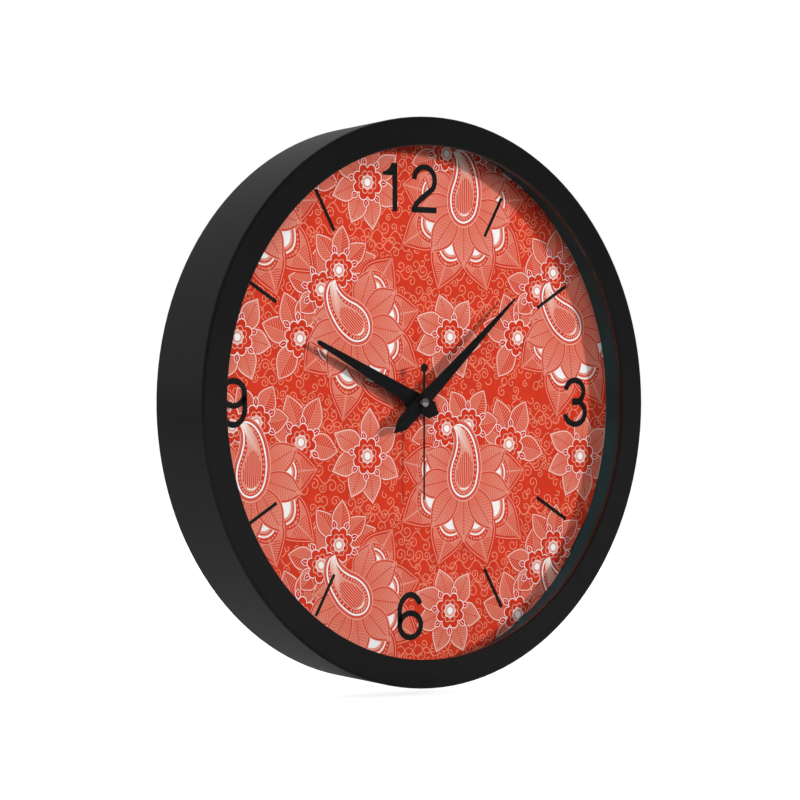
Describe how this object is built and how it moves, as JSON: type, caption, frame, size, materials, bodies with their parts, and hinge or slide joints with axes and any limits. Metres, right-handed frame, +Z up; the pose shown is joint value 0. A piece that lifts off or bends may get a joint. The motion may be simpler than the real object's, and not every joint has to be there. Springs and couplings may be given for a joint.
{
  "type": "wall clock",
  "caption": "Round wall clock with a deep black case, flat glass, red ornamented dial, three hands and a battery quartz movement behind an open back.",
  "frame": {"origin": "on the common axis of the hands, in the plane of the wall that the back rim touches", "axes": "+Z up, +X to the reader's right, -Y towards the reader, so the dial faces -Y and the wall is at +Y"},
  "size_m": [0.2998, 0.044, 0.2998],
  "materials": {
    "case_plastic": "fine satin black moulding",
    "gasket_foam": "closed-cell foam",
    "dial_glass": "clear float glass, polished arris",
    "spacer_plastic": "dark grey satin moulding",
    "dial_print": "printed red sheet with pale line ornament, black numerals",
    "plate_plastic": "off-white moulding, fine texture",
    "screw_steel": "zinc plated",
    "bracket_steel": "zinc plated sheet",
    "movement_plastic": "black moulding",
    "washer_rubber": "black rubber",
    "magnet": "bonded magnet, dark grey",
    "wheel_plastic": "natural acetal",
    "arbor_steel": "turned and polished",
    "tube_brass": "turned brass",
    "soft_iron": "annealed sheet",
    "bobbin_plastic": "red moulding",
    "copper_wire": "enamelled copper",
    "board_laminate": "brown paper laminate",
    "chip_resin": "black potting resin",
    "crystal_case": "drawn can",
    "battery_wrap": "printed sleeve without lettering, bare steel ends",
    "contact_metal": "nickel plated",
    "hand_black": "satin black lacquer on aluminium",
    "cap_chrome": "bright plated",
    "knob_plastic": "off-white moulding, fluted grip"
  },
  "bodies": {
    "case": {"case_ring": "case_plastic", "glass_gasket": "gasket_foam", "glass": "dial_glass", "spacer_ring": "spacer_plastic", "dial_sheet": "dial_print", "dial_plate": "plate_plastic", "dial_screws": "screw_steel", "hanger_bracket": "bracket_steel", "hanger_screws": "screw_steel", "movement_housing": "movement_plastic", "movement_cover": "movement_plastic", "mounting_washer": "washer_rubber", "stator": "soft_iron", "coil_core": "soft_iron", "coil_bobbin": "bobbin_plastic", "coil_winding": "copper_wire", "coil_leads": "copper_wire", "stator_screws": "screw_steel", "circuit_board": "board_laminate", "clock_chip": "chip_resin", "crystal_can": "crystal_case", "contact_positive": "contact_metal", "contact_negative": "contact_metal"},
    "second_train": {"second_wheel": "wheel_plastic", "second_arbor": "arbor_steel", "second_hand": "hand_black", "second_hand_tube": "tube_brass", "second_hand_cap": "cap_chrome"},
    "rotor": {"rotor_magnet": "magnet", "rotor_pinion": "wheel_plastic"},
    "intermediate": {"intermediate_wheel": "wheel_plastic"},
    "third": {"third_wheel": "wheel_plastic"},
    "centre": {"centre_wheel": "wheel_plastic"},
    "minute_train": {"cannon_pinion": "wheel_plastic", "clutch_spring": "arbor_steel", "minute_hand": "hand_black", "minute_hand_bush": "hand_black"},
    "hour_train": {"hour_wheel": "wheel_plastic", "hour_hand": "hand_black", "hour_hand_bush": "hand_black"},
    "motion_wheel": {"minute_wheel": "wheel_plastic"},
    "knob": {"setting_knob": "knob_plastic"},
    "cell": {"battery": "battery_wrap"}
  },
  "joints": [
    {"name": "second_hand_turn", "type": "hinge", "parent": "case", "child": "second_train", "pos_m": [0, -0.02, 0], "axis": [0, 1, 0], "continuous": true},
    {"name": "rotor_turn", "type": "hinge", "parent": "case", "child": "rotor", "pos_m": [0.0146, -0.011, 0], "axis": [0, 1, 0], "continuous": true},
    {"name": "intermediate_turn", "type": "hinge", "parent": "case", "child": "intermediate", "pos_m": [0.009, -0.009, 0], "axis": [0, 1, 0], "continuous": true},
    {"name": "third_wheel_turn", "type": "hinge", "parent": "case", "child": "third", "pos_m": [-0.00918, -0.012, 0], "axis": [0, 1, 0], "continuous": true},
    {"name": "centre_wheel_turn", "type": "hinge", "parent": "case", "child": "centre", "pos_m": [0, -0.014, 0], "axis": [0, 1, 0], "continuous": true},
    {"name": "minute_hand_turn", "type": "hinge", "parent": "case", "child": "minute_train", "pos_m": [0, -0.02, 0], "axis": [0, 1, 0], "continuous": true},
    {"name": "hour_hand_turn", "type": "hinge", "parent": "case", "child": "hour_train", "pos_m": [0, -0.02, 0], "axis": [0, 1, 0], "continuous": true},
    {"name": "minute_wheel_turn", "type": "hinge", "parent": "case", "child": "motion_wheel", "pos_m": [0, -0.016, 0.0072], "axis": [0, 1, 0], "continuous": true},
    {"name": "setting_knob_turn", "type": "hinge", "parent": "case", "child": "knob", "pos_m": [0, -0.008, 0.015], "axis": [0, 1, 0], "continuous": true},
    {"name": "battery_lift", "type": "slide", "parent": "case", "child": "cell", "axis": [0, 1, 0], "range_m": [0, 0.02]}
  ],
  "couplings": [
    {"joint": "rotor_turn", "follows": "second_hand_turn", "ratio": 30},
    {"joint": "intermediate_turn", "follows": "second_hand_turn", "ratio": -5},
    {"joint": "third_wheel_turn", "follows": "second_hand_turn", "ratio": -0.13333},
    {"joint": "centre_wheel_turn", "follows": "second_hand_turn", "ratio": 0.016667},
    {"joint": "hour_hand_turn", "follows": "minute_hand_turn", "ratio": 0.083333},
    {"joint": "minute_wheel_turn", "follows": "minute_hand_turn", "ratio": -0.33333},
    {"joint": "setting_knob_turn", "follows": "minute_hand_turn", "ratio": 0.75}
  ]
}
